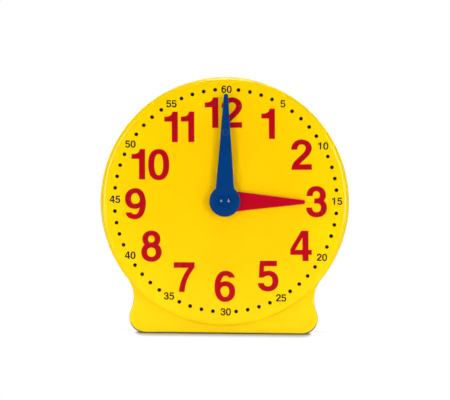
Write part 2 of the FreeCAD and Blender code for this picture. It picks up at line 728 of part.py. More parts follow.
def make_hour_hand():
    blade = hand_body("hour_blade", "hour_hand_hub_radius", "hour_hand_neck_width",
                      "hour_hand_tip_radius", "hour_hand_length", "hour_hand_thickness",
                      "hour_hand_back")
    bore = cylinder("hour_hand_bore", "tube_seat_radius + seat_clearance", "hour_hand_thickness",
                    z="hour_hand_back")
    # The hand points at 3 while the minute hand points at 12.
    quarter_turn = UPRIGHT.multiply(Rotation(Vector(0, 0, 1), -90))
    finish("hour_hand", cut("hour_hand_cut", blade, bore), y="dial_height", turn=quarter_turn)


def make_minute_hand():
    blade = hand_body("minute_blade", "minute_hand_hub_radius", "minute_hand_neck_width",
                      "minute_hand_tip_radius", "minute_hand_length", "minute_hand_thickness",
                      "minute_hand_back")
    peg_body = new_body("finger_peg")
    pad(peg_body, circle_sketch(peg_body, "peg_circle", "peg_radius", "minute_hand_back"),
        "minute_hand_thickness + peg_height")
    round_edges(peg_body, "peg_edge", "peg_edge_radius",
                at_level(size("peg_front")))
    peg = place(peg_body, "0", "peg_distance", "0")
    dimple = doc.addObject("Part::Sphere", "peg_dimple")
    bind(dimple, Radius="peg_dimple_sphere")
    place(dimple, "0", "peg_distance", "peg_front - peg_dimple_depth + peg_dimple_sphere")
    bore = flatted_bore("minute_hand_bore", "arbor_end_radius", "minute_hand_thickness",
                        "minute_hand_back")
    finish("minute_hand", cut("minute_hand_cut", fuse("minute_hand_fuse", blade, peg), bore, dimple),
           y="dial_height")


def make_hand_cap():
    """Shallow dome pressed on the arbor's end over the minute hand."""
    rim = cylinder("cap_rim_disc", "cap_radius", "cap_height", z="minute_hand_front")
    dome = doc.addObject("Part::Sphere", "cap_dome")
    bind(dome, Radius="cap_dome_radius")
    place(dome, "0", "0", "minute_hand_front + cap_height - cap_dome_radius")
    socket = flatted_bore("cap_socket", "arbor_end_radius", "cap_height - cap_roof",
                          "minute_hand_front")
    finish("hand_cap", cut("cap_cut", common("cap_common", rim, dome), socket), y="dial_height")


def make_friction_clip():
    """Washer against the bridge and the snap ring that holds it."""
    washer = cut("washer_cut",
                 cylinder("washer_disc", "washer_radius", "washer_thickness", z="washer_back"),
                 cylinder("washer_hole", "arbor_radius + running_clearance", "washer_thickness",
                          z="washer_back"))
    finish("friction_washer", washer, y="dial_height")
    groove_radius = "(arbor_radius - clip_groove_depth + seat_clearance)"
    clip = cut("clip_cut",
               cylinder("clip_disc", "clip_radius", "clip_thickness", z="clip_back"),
               cylinder("clip_hole", groove_radius, "clip_thickness", z="clip_back"),
               block("clip_mouth", f"1.5 * {groove_radius}", "clip_radius", "clip_thickness",
                     z="clip_back"))
    finish("arbor_clip", clip, y="dial_height")


def make_setting_knob():
    """Fluted knob behind the case that turns the minute arbor."""
    body = new_body("knob_body")
    pad(body, circle_sketch(body, "knob_circle", "knob_radius", "knob_back"), "knob_height")
    round_edges(body, "knob_edge", "knob_edge_radius", at_level(size("knob_back")))
    flutes = [cylinder(f"flute_{number}", "flute_radius", "knob_height", x, y, "knob_back")
              for number, (x, y) in enumerate(polar_points("flute_ring", int(size("knob_flutes"))), start=1)]
    seat = flatted_bore("knob_bore", "arbor_radius", "knob_seat", "arbor_back")
    screw_way = cylinder("knob_screw_way", "screw_hole_radius", "arbor_back - knob_back", z="knob_back")
    screw_sink = cylinder("knob_screw_sink", "screw_sink_radius", "screw_recess", z="knob_back")
    finish("setting_knob", cut("knob_cut", body, *flutes, seat, screw_way, screw_sink),
           y="dial_height")
    make_screw("knob_screw", "0", "dial_height", "knob_back + screw_recess",
               "screw_length + arbor_back - knob_back - screw_recess")


# The leg is drawn folded into its recess, about its hinge, with its foot upwards.
LET_DOWN = Rotation(Vector(1, 0, 0), 90 - size("leg_swing"))


def make_easel_leg():
    """Fold-down leg: hinge barrel, plate and two ribs on the side that faces the recess."""
    plate = block("leg_plate", "leg_width", "leg_length", "leg_thickness", z="-leg_thickness / 2")
    barrel = cylinder("leg_barrel", "hinge_barrel_radius", "leg_width", "-leg_width / 2", turn=ALONG_X)
    ribs = [block(f"leg_rib_{number}", "leg_rib_width", "rib_length", "leg_thickness / 2 + leg_rib_height",
                  f"{side}(leg_width / 2 - leg_rib_inset)", "rib_start")
            for number, side in enumerate(("-", ""), start=1)]
    bore = cylinder("leg_bore", "pin_radius + running_clearance", "leg_width", "-leg_width / 2",
                    turn=ALONG_X)
    finish("easel_leg", cut("leg_cut", fuse("leg_fuse", plate, barrel, *ribs), bore),
           y="hinge_height", z="hinge_z", turn=LET_DOWN)


def make_leg_foot():
    """Rubber bar pushed over the leg's end."""
    bar = cylinder("foot_bar", "foot_radius", "leg_width", "-leg_width / 2", "leg_length", turn=ALONG_X)
    slot = block("foot_slot", "leg_width", "foot_radius", "leg_thickness + 2 * seat_clearance",
                 "0", "leg_length - foot_radius", "-leg_thickness / 2 - seat_clearance")
    finish("leg_foot", cut("foot_cut", bar, slot), y="hinge_height", z="hinge_z", turn=LET_DOWN)


def make_leg_pin():
    """Steel hinge pin held in the recess's two side walls."""
    pin = cylinder("pin_bar", "pin_radius", "pin_length", turn=ALONG_X)
    finish("leg_hinge_pin", pin, "-pin_length / 2", "hinge_height", "hinge_z",
           turn=UPRIGHT.multiply(ALONG_X))


make_front_shell()
make_rear_cover()
make_gear_bridge()
make_screws()
make_wheel_axle()
make_cannon_pinion()
make_transfer_gear()
make_hour_wheel()
make_minute_arbor()
make_hour_hand()
make_minute_hand()
make_hand_cap()
make_friction_clip()
make_setting_knob()
make_easel_leg()
make_leg_foot()
make_leg_pin()
doc.recompute()

for thing in doc.Objects:
    if "Invalid" in thing.State or "Error" in thing.State:
        raise RuntimeError(f"{thing.Name} has state {thing.State}")
for label, thing in nodes.items():
    if thing.Shape.isNull() or not thing.Shape.isValid():
        raise RuntimeError(f"{label} has no valid shape")

os.makedirs("parts", exist_ok=True)
for label, thing in nodes.items():
    thing.Shape.exportStep(f"parts/{label}.step")
    print(f"{label}: {len(thing.Shape.Solids)} solid, {thing.Shape.Volume / 1000:.2f} cm3")
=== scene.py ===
import json
import math

import bpy
from mathutils import Matrix, Vector
from mathutils.geometry import delaunay_2d_cdt


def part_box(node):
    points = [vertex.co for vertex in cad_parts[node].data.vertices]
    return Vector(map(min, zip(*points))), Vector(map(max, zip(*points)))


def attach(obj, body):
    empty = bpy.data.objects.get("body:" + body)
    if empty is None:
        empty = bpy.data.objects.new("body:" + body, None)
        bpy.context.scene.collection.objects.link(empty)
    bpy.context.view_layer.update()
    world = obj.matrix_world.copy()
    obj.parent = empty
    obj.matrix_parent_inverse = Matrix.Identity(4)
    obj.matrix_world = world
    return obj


# Geared teaching clock: printed dial, finished surfaces and a plain studio, in metres.
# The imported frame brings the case, the hands and the wheel train at their real places.

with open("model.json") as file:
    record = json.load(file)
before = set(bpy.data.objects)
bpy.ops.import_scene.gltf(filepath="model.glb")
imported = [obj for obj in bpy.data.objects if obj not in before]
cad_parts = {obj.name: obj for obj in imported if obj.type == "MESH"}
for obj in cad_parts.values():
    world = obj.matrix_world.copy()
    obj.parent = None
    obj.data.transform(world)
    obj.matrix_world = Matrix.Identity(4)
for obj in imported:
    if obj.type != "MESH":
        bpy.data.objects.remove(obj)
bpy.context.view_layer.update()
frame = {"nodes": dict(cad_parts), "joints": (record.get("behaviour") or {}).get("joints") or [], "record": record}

MM = 0.001

# --- the dial's own coordinates -------------------------------------------------------

shell_low, shell_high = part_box("front_shell")
AXIS = Vector([joint["pos_m"] for joint in frame["joints"] if joint["name"] == "minute_turn"][0])
DIAL_FACE = shell_low.y              # the flat printed face, towards -Y
FOOT_FRONT = DIAL_FACE + 9 * MM      # the foot stands back from the dial
FOOT_BACK = shell_high.y             # and its back is the case's own
FOOT_FLAT = 216 * MM                 # length of its flat underside

INK = 0.12                           # mm, thickness of a printed layer
INK_SUNK = 0.02                      # mm of it that keys into the plastic
SAME_POINT = 1e-5                    # mm, nearer points of an outline are one
PRINT_SHIFT = (1.1, 0.9)             # mm right and up: the dial is printed a little off its axis


def on_dial(x, up, proud):
    """Point of the scene for a place on the dial, in mm from its axis and its face."""
    return Vector((AXIS.x + x * MM, DIAL_FACE - proud * MM, AXIS.z + up * MM))


# --- figures drawn with a broad pen ---------------------------------------------------
#
# A figure is a set of pen strokes and straight-sided plates, in thousandths of the figure
# size.  A stroke runs through stops: x and y as shares of the box that the middle of the
# pen moves in, the heading there in degrees, and how much of the pen's width bears.
# A pen's widths and the gap between figures are in thousandths too, its size is in mm, and
# "after_one" is extra room after a figure 1.

UP, RIGHT, DOWN, LEFT = 90, 0, 270, 180

HOUR_PEN = {"upright": 143, "level": 119, "bar": 130, "size": 56.85, "gap": 73, "after_one": 0}
MINUTE_PEN = {"upright": 138, "level": 117, "bar": 119, "size": 13.55, "gap": 40, "after_one": 171}

FULL_HEIGHT = 710
FIGURE_TOP = {"5": 698, "7": 698}    # flat-topped figures are a little lower
FIGURE_DIP = 19                      # round figures reach this far under the line
ROUND_BASE = "035689"
FIGURE_SPAN = {                      # left and right edge
    "0": (32, 524), "1": (69, 380), "2": (26, 511), "3": (27, 516), "4": (27, 526),
    "5": (27, 516), "6": (31, 520), "7": (33, 520), "8": (38, 518), "9": (30, 522),
}
SIX = [(.955, .83, UP, 1), (.53, 1, LEFT, 1), (0, .46, DOWN, .93), (.5, 0, RIGHT, 1),
       (1, .315, UP, 1), (.55, .60, LEFT, 1), (.06, .36, DOWN, .80)]
STROKES = {
    "0": [[(0, .5, UP, 1), (.5, 1, RIGHT, 1), (1, .5, DOWN, 1), (.5, 0, LEFT, 1), (0, .5, UP, 1)]],
    "2": [[(.01, .69, UP, 1), (.50, 1, RIGHT, 1), (1, .75, DOWN, 1), (.78, .50, 226, 1),
           (.18, .16, 229, 1), (.02, -.094, DOWN, 1)]],
    "3": [[(.03, .715, UP, 1), (.48, 1, RIGHT, 1), (.93, .745, DOWN, 1), (.50, .53, LEFT, 1),
           (.34, .53, LEFT, 1)],
          [(.34, .53, RIGHT, 1), (.50, .53, RIGHT, 1), (1, .275, DOWN, 1), (.5, 0, LEFT, 1),
           (0, .285, UP, 1)]],
    "5": [[(.05, .53, 30, 1), (.50, .615, RIGHT, 1), (.99, .31, DOWN, 1), (.49, 0, LEFT, 1),
           (.01, .23, UP, 1)]],
    "6": [SIX],
    "7": [[(1.057, .945, 237, .86), (.59, .50, 244, .86), (.32, -.094, 264, .94)]],
    "8": [[(.075, .775, UP, .94), (.5, 1, RIGHT, 1), (.925, .775, DOWN, .94), (.5, .545, LEFT, 1),
           (.075, .775, UP, .94)],
          [(0, .275, UP, .97), (.5, .545, RIGHT, 1), (1, .275, DOWN, .97), (.5, 0, LEFT, 1),
           (0, .275, UP, .97)]],
    "9": [[(1 - x, 1 - y, heading + 180, weight) for x, y, heading, weight in SIX]],
}
ROUNDNESS = {"0": .66, "2": .58}     # of the bends; a circle's would be 0.55
USUAL_ROUNDNESS = .60
STROKE_STEPS = 12
NEARLY_STRAIGHT = 0.17               # sine of the turn below which a stroke's piece is no bend
STRAIGHT_HANDLE = 0.4                # of its length, the handles of such a piece


def bezier(corners, step):
    """Point and direction part of the way along a cubic curve."""
    rest = 1 - step
    a, b, c, d = corners
    point = a * rest ** 3 + b * 3 * rest ** 2 * step + c * 3 * rest * step ** 2 + d * step ** 3
    along = (b - a) * rest ** 2 + (c - b) * 2 * rest * step + (d - c) * step ** 2
    return point, along.normalized()


def stop_handles(start, end, start_way, end_way, roundness):
    """Lengths of a bend's two handles, as shares of the way to where its headings cross."""
    reach = end - start
    crossing = start_way.cross(end_way)
    if abs(crossing) < NEARLY_STRAIGHT:
        return reach.length * STRAIGHT_HANDLE, reach.length * STRAIGHT_HANDLE
    return (roundness * reach.cross(end_way) / crossing,
            roundness * start_way.cross(reach) / crossing)


def heading_way(degrees):
    return Vector((math.cos(math.radians(degrees)), math.sin(math.radians(degrees))))


def stroke_outlines(stops, pen, roundness):
    """Three-sided pieces of one stroke; stops are in thousandths."""
    edges = []
    for this_stop, next_stop in zip(stops, stops[1:]):
        x, y, heading, weight = this_stop
        next_x, next_y, next_heading, next_weight = next_stop
        start, end = Vector((x, y)), Vector((next_x, next_y))
        start_way, end_way = heading_way(heading), heading_way(next_heading)
        out, back = stop_handles(start, end, start_way, end_way, roundness)
        corners = (start, start + start_way * out, end - end_way * back, end)
        for number in range(STROKE_STEPS + 1):
            step = number / STROKE_STEPS
            point, along = bezier(corners, step)
            side = Vector((-along.y, along.x))
            spread = math.hypot(pen["upright"] * side.x, pen["level"] * side.y) / 2
            spread *= weight + (next_weight - weight) * step
            edges.append((point + side * spread, point - side * spread))
    outlines = []
    for (left, right), (next_left, next_right) in zip(edges, edges[1:]):
        outlines += [[left, right, next_right], [left, next_right, next_left]]
    return outlines


def figure_plates(figure, pen):
    """Straight-sided parts of a figure, in thousandths."""
    left, right = FIGURE_SPAN[figure]
    top = FIGURE_TOP.get(figure, FULL_HEIGHT)
    wide, bar = pen["upright"], pen["bar"]
    if figure == "1":
        stem_middle, flag_middle, flag_reach = 312, 536, 173
        stem_left, stem_right = stem_middle - wide / 2, stem_middle + wide / 2
        flag_tip = stem_left - flag_reach
        under, over = flag_middle - 0.395 * wide, flag_middle + 0.395 * wide
        inset = 0.13 * wide
        curve = (Vector((flag_tip, over)), Vector((flag_tip + 0.8 * flag_reach, over)),
                 Vector((stem_left + inset / 3, top - 80)), Vector((stem_left + inset, top)))
        flag = [tuple(bezier(curve, number / STROKE_STEPS)[0])
                for number in range(STROKE_STEPS + 1)]
        return [[(stem_left, 0), (stem_right, 0), (stem_right, under), (stem_left, under)],
                [(flag_tip, under), (stem_right, under), (stem_right, top), *reversed(flag)]]
    if figure == "2":
        return [[(left + 0.1 * wide, 0), (right, 0), (right, bar), (left + 0.4 * wide, bar)]]
    if figure == "4":
        stem_middle, bar_middle = 380, 205
        stem_left, stem_right = stem_middle - wide / 2, stem_middle + wide / 2
        under, over = bar_middle - pen["level"] / 2, bar_middle + pen["level"] / 2
        low, high = Vector((left, over + 0.13 * wide)), Vector((stem_left - 0.18 * wide, top))
        inner = left + 0.78 * wide
        apex = over + (stem_left - inner) * (high.y - low.y) / (high.x - low.x)
        return [[(stem_left, 0), (stem_right, 0), (stem_right, top), (stem_left, top)],
                [(left, under), (right, under), (right, over), (left, over)],
                [(left, over), (inner, over), (stem_left, apex), (stem_left, top),
                 tuple(high), tuple(low)]]
    if figure == "5":
        foot = 0.435 * top
        return [[(left + 0.36 * wide, top - bar), (right - 0.27 * wide, top - bar),
                 (right - 0.27 * wide, top), (left + 0.36 * wide, top)],
                [(left + 0.16 * wide, foot), (left + 0.98 * wide, foot),
                 (left + 1.08 * wide, top), (left + 0.36 * wide, top)]]
    if figure == "7":
        return [[(left, top - bar), (right, top - bar), (right, top), (left, top)]]
    return []


def figure_outlines(figure, pen):
    """Overlapping outlines that together make one figure, in thousandths."""
    left, right = FIGURE_SPAN[figure]
    top = FIGURE_TOP.get(figure, FULL_HEIGHT)
    bottom = -FIGURE_DIP if figure in ROUND_BASE else 0
    corner_x, corner_y = left + pen["upright"] / 2, bottom + pen["level"] / 2
    room_x, room_y = right - left - pen["upright"], top - bottom - pen["level"]
    outlines = figure_plates(figure, pen)
    for stops in STROKES.get(figure, []):
        placed = [(corner_x + room_x * x, corner_y + room_y * y, heading, weight)
                  for x, y, heading, weight in stops]
        outlines += stroke_outlines(placed, pen, ROUNDNESS.get(figure, USUAL_ROUNDNESS))
    return outlines


def number_outlines(number, pen, middle, tilt):
    """Outlines of a number in mm on the dial, set about its middle and tilted clockwise."""
    outlines, line = [], 0
    for figure in str(number):
        left, right = FIGURE_SPAN[figure]
        outlines += [[Vector((x + line - left, y)) for x, y in outline]
                     for outline in figure_outlines(figure, pen)]
        line += right - left + pen["gap"] + (pen["after_one"] if figure == "1" else 0)
    width = line - pen["gap"]
    scale = pen["size"] / 1000
    turn = Matrix.Rotation(-math.radians(tilt), 2)
    centre = Vector((width, FULL_HEIGHT)) / 2
    return [[Vector(middle) + turn @ ((point - centre) * scale) for point in outline]
            for outline in outlines]


def covers(outline, place):
    """Whether a place is inside an outline, by the sides that a level line crosses."""
    inside = False
    for start, end in zip(outline, outline[1:] + outline[:1]):
        if (start.y > place.y) != (end.y > place.y):
            crossing = start.x + (place.y - start.y) * (end.x - start.x) / (end.y - start.y)
            inside ^= place.x < crossing
    return inside


def inked_area(outlines):
    """Points and triangles of the united area of overlapping outlines."""
    points, sides = [], []
    for outline in outlines:
        corners = range(len(points), len(points) + len(outline))
        sides += zip(corners, [*corners[1:], corners[0]])
        points += outline
    joined, _, triangles, _, _, _ = delaunay_2d_cdt(points, sides, [], 0, SAME_POINT)
    inked = []
    for triangle in triangles:
        middle = sum((joined[corner] for corner in triangle), Vector((0, 0))) / 3
        if any(covers(outline, middle) for outline in outlines):
            inked.append(tuple(triangle))
    return joined, inked


def printed_layer(name, numbers):
    """Closed thin slab of ink on the dial, from each number's outlines."""
    vertices, polygons = [], []
    for outlines in numbers:
        joined, inked = inked_area(outlines)
        front = len(vertices)
        back = front + len(joined)
        vertices += [on_dial(x, y, INK - INK_SUNK) for x, y in joined]
        vertices += [on_dial(x, y, -INK_SUNK) for x, y in joined]
        sides = {(a, b) for triangle in inked
                 for a, b in zip(triangle, triangle[1:] + triangle[:1])}
        polygons += [tuple(front + corner for corner in triangle) for triangle in inked]
        polygons += [tuple(back + corner for corner in reversed(triangle)) for triangle in inked]
        polygons += [(front + a, back + a, back + b, front + b)
                     for a, b in sorted(sides) if (b, a) not in sides]
    mesh = bpy.data.meshes.new(name)
    mesh.from_pydata(vertices, [], polygons)
    mesh.validate()
    return new_piece(name, mesh)


def new_piece(name, mesh):
    piece = bpy.data.objects.new(name, mesh)
    bpy.context.scene.collection.objects.link(piece)
    return piece


# --- printing on the dial -------------------------------------------------------------

HOUR_RING = 115.85                   # mm, middle of the hour figures from the axis
HOUR_TILT = -0.85                    # degrees: the second colour went on slightly askew
HOUR_NUDGE = {                       # mm right and up: figures are set by eye, not on an exact ring
    1: (-2.8, 1.9), 2: (-0.7, 4), 3: (4.4, 0.3), 4: (0, -1), 5: (-0.6, 1.9), 6: (0, 2.9),
    7: (4.1, -1.3), 8: (2.7, -2.9), 9: (-3.4, -4.8), 10: (0.3, -10.8), 11: (-4.5, -3.4),
    12: (-4.2, 0.6),
}
MINUTE_RING = 147.3                  # mm, the same for the minute figures and the dots
MINUTE_NUDGE = {                     # mm right and up
    5: (0.8, 1.5), 10: (0.7, 0.1), 15: (0.25, 0.9), 20: (0.6, 0), 25: (1.05, -0.3), 30: (1.6, 0.2),
    35: (0, 0.7), 40: (2, 0.2), 45: (0.8, 0.3), 50: (0.7, 0), 55: (0.5, 0), 60: (-0.4, 0.2),
}
DOT_RADIUS = 2.5                     # mm
DOT_SIDES = 32


def ring_place(ring, hours):
    """Place on a printed ring, in mm from the dial's axis, at a number of hours past 12."""
    turn = math.radians(30 * hours)
    return Vector((ring * math.sin(turn) + PRINT_SHIFT[0], ring * math.cos(turn) + PRINT_SHIFT[1]))


def print_hour_figures():
    numbers = []
    for hour, nudge in HOUR_NUDGE.items():
        middle = ring_place(HOUR_RING, hour) + Vector(nudge)
        numbers.append(number_outlines(hour, HOUR_PEN, middle, HOUR_TILT))
    return printed_layer("hour_figures", numbers)


def print_minute_figures():
    numbers = []
    for minute, nudge in MINUTE_NUDGE.items():
        middle = ring_place(MINUTE_RING, minute / 5) + Vector(nudge)
        numbers.append(number_outlines(minute, MINUTE_PEN, middle, 0))
    return printed_layer("minute_figures", numbers)


def add_node(tree, kind, inputs=None, **settings):
    """A node with its settings; inputs are values, or sockets to link from, by name or place."""
    made = tree.nodes.new(kind)
    for name, value in settings.items():
        setattr(made, name, value)
    for name, value in (inputs or {}).items():
        if isinstance(value, bpy.types.NodeSocket):
            tree.links.new(value, made.inputs[name])
        else:
            made.inputs[name].default_value = value
    return made


def minute_dot_tree():
    """Dots on a ring, one a minute, with every fifth left out for a figure."""
    tree = bpy.data.node_groups.new("minute_dot_ring", "GeometryNodeTree")
    for name, kind in (("Ring Radius", "NodeSocketFloat"), ("Dot Radius", "NodeSocketFloat"),
                       ("Ink Thickness", "NodeSocketFloat"), ("Minutes", "NodeSocketInt"),
                       ("Figure Every", "NodeSocketInt"), ("Middle", "NodeSocketVector"),
                       ("Ink", "NodeSocketMaterial")):
        tree.interface.new_socket(name, in_out="INPUT", socket_type=kind)
    tree.interface.new_socket("Dots", in_out="OUTPUT", socket_type="NodeSocketGeometry")
    given = add_node(tree, "NodeGroupInput").outputs
    ring = add_node(tree, "GeometryNodeMeshCircle",
                    {"Vertices": given["Minutes"], "Radius": given["Ring Radius"]})
    index = add_node(tree, "GeometryNodeInputIndex")
    past_figure = add_node(tree, "ShaderNodeMath", {0: index.outputs[0], 1: given["Figure Every"]},
                           operation="MODULO")
    at_figure = add_node(tree, "ShaderNodeMath", {0: past_figure.outputs[0], 1: 0.5},
                         operation="LESS_THAN")
    places = add_node(tree, "GeometryNodeDeleteGeometry",
                      {"Geometry": ring.outputs[0], "Selection": at_figure.outputs[0]},
                      domain="POINT")
    dot = add_node(tree, "GeometryNodeMeshCylinder",
                   {"Vertices": DOT_SIDES, "Radius": given["Dot Radius"],
                    "Depth": given["Ink Thickness"]})
    dots = add_node(tree, "GeometryNodeInstanceOnPoints",
                    {"Points": places.outputs[0], "Instance": dot.outputs["Mesh"]})
    stood = add_node(tree, "GeometryNodeTransform",
                     {"Geometry": dots.outputs[0], "Translation": given["Middle"],
                      "Rotation": (math.radians(90), 0, 0)})
    real = add_node(tree, "GeometryNodeRealizeInstances", {"Geometry": stood.outputs[0]})
    inked = add_node(tree, "GeometryNodeSetMaterial",
                     {"Geometry": real.outputs[0], "Material": given["Ink"]})
    add_node(tree, "NodeGroupOutput", {"Dots": inked.outputs[0]})
    return tree


def grown_from(name, tree, values):
    """Plain mesh piece from a geometry tree with its inputs set by name."""
    seed = new_piece(name, bpy.data.meshes.new(name))
    grower = seed.modifiers.new("grower", "NODES")
    grower.node_group = tree
    for socket in tree.interface.items_tree:
        if socket.in_out == "INPUT":
            grower[socket.identifier] = values[socket.name]
    shape = seed.evaluated_get(bpy.context.evaluated_depsgraph_get())
    grown = bpy.data.meshes.new_from_object(shape)
    seed.modifiers.remove(grower)
    seed.data = grown
    return seed


def print_minute_dots(ink):
    middle = on_dial(PRINT_SHIFT[0], PRINT_SHIFT[1], INK / 2 - INK_SUNK)
    return grown_from("minute_dots", minute_dot_tree(), {
        "Ring Radius": MINUTE_RING * MM, "Dot Radius": DOT_RADIUS * MM, "Ink Thickness": INK * MM,
        "Minutes": 60, "Figure Every": 5, "Middle": middle, "Ink": ink})


# --- the finger peg -------------------------------------------------------------------

PEG_HEIGHT = 91.1 * MM               # of the peg on the minute hand above the axis
PEG_RIM = 3.85 * MM                  # radius of the pale rim round its dimple: finger wear and a painted highlight
PEG_RIM_TUBE = 0.42 * MM             # and of the rounding itself
RIM_SINK = 0.3                       # of that, how deep its middle lies behind the hand's front
RIM_TURNS = 48
TUBE_TURNS = 10


def peg_rim():
    """Rounded rim of the peg in paler blue: partly finger wear, partly a painted highlight."""
    hand_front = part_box("minute_hand")[0].y
    centre = Vector((AXIS.x, hand_front + RIM_SINK * PEG_RIM_TUBE, AXIS.z + PEG_HEIGHT))
    vertices, polygons = [], []
    for turn in range(RIM_TURNS):
        round_peg = 2 * math.pi * turn / RIM_TURNS
        outward = Vector((math.sin(round_peg), 0, math.cos(round_peg)))
        for step in range(TUBE_TURNS):
            round_tube = 2 * math.pi * step / TUBE_TURNS
            reach = PEG_RIM + PEG_RIM_TUBE * math.cos(round_tube)
            forward = Vector((0, -PEG_RIM_TUBE * math.sin(round_tube), 0))
            vertices.append(centre + outward * reach + forward)
    for turn in range(RIM_TURNS):
        here, beyond = turn * TUBE_TURNS, (turn + 1) % RIM_TURNS * TUBE_TURNS
        for step in range(TUBE_TURNS):
            up = (step + 1) % TUBE_TURNS
            polygons.append((here + step, here + up, beyond + up, beyond + step))
    mesh = bpy.data.meshes.new("peg_rim")
    mesh.from_pydata(vertices, [], polygons)
    mesh.shade_smooth()
    return new_piece("peg_rim", mesh)


# --- finishes -------------------------------------------------------------------------

NOISE_LOW, NOISE_HIGH = 0.35, 0.65   # most of a noise lies between these
EDGE_SAMPLES = 4                     # for the small rounding of a moulded edge
PAINTED_RIM_TONE_FROM = 90 * MM                  # from the axis, where the colour starts to turn to the outer one; on the yellow a painted lift of rim and foot
PAINTED_RIM_TONE_TO = 185 * MM
CLOUDING = 0.12                      # share of the paling that clouds come and go by
PALE_EDGE_FROM, PALE_EDGE_FULL = 0.99, 0.75    # cosine of an edge's turn, where the paler edge starts and is full: rubbing and a painted highlight
UNDER_FROM, UNDER_FULL = -0.08, -0.45    # upward part of a face's normal, the same for the painted shade underneath
SHADE_UNDER_FROM = 22 * MM                 # above the table, where the painted shade on the foot's underside starts
SHADE_UNDER_FULL = 9 * MM
SHADE_UNDER_SHARE = 0.85
# grey-brown of the painted shade on the foot's down-facing edges and lower corners
UNDERSIDE_SHADE = "5F5A48"


def linear(code):
    """Scene colour for an sRGB hex code."""
    shares = [int(code[place:place + 2], 16) / 255 for place in (0, 2, 4)]
    return (*[share / 12.92 if share <= 0.04045 else ((share + 0.055) / 1.055) ** 2.4
              for share in shares], 1.0)


def new_finish(name):
    """Empty material: its tree and the sockets of its surface and of object coordinates."""
    material = bpy.data.materials.new(name)
    material.use_nodes = True
    tree = material.node_tree
    tree.nodes.clear()
    surface = add_node(tree, "ShaderNodeBsdfPrincipled")
    add_node(tree, "ShaderNodeOutputMaterial", {"Surface": surface.outputs[0]})
    place = add_node(tree, "ShaderNodeTexCoord").outputs["Object"]
    return material, tree, surface, place


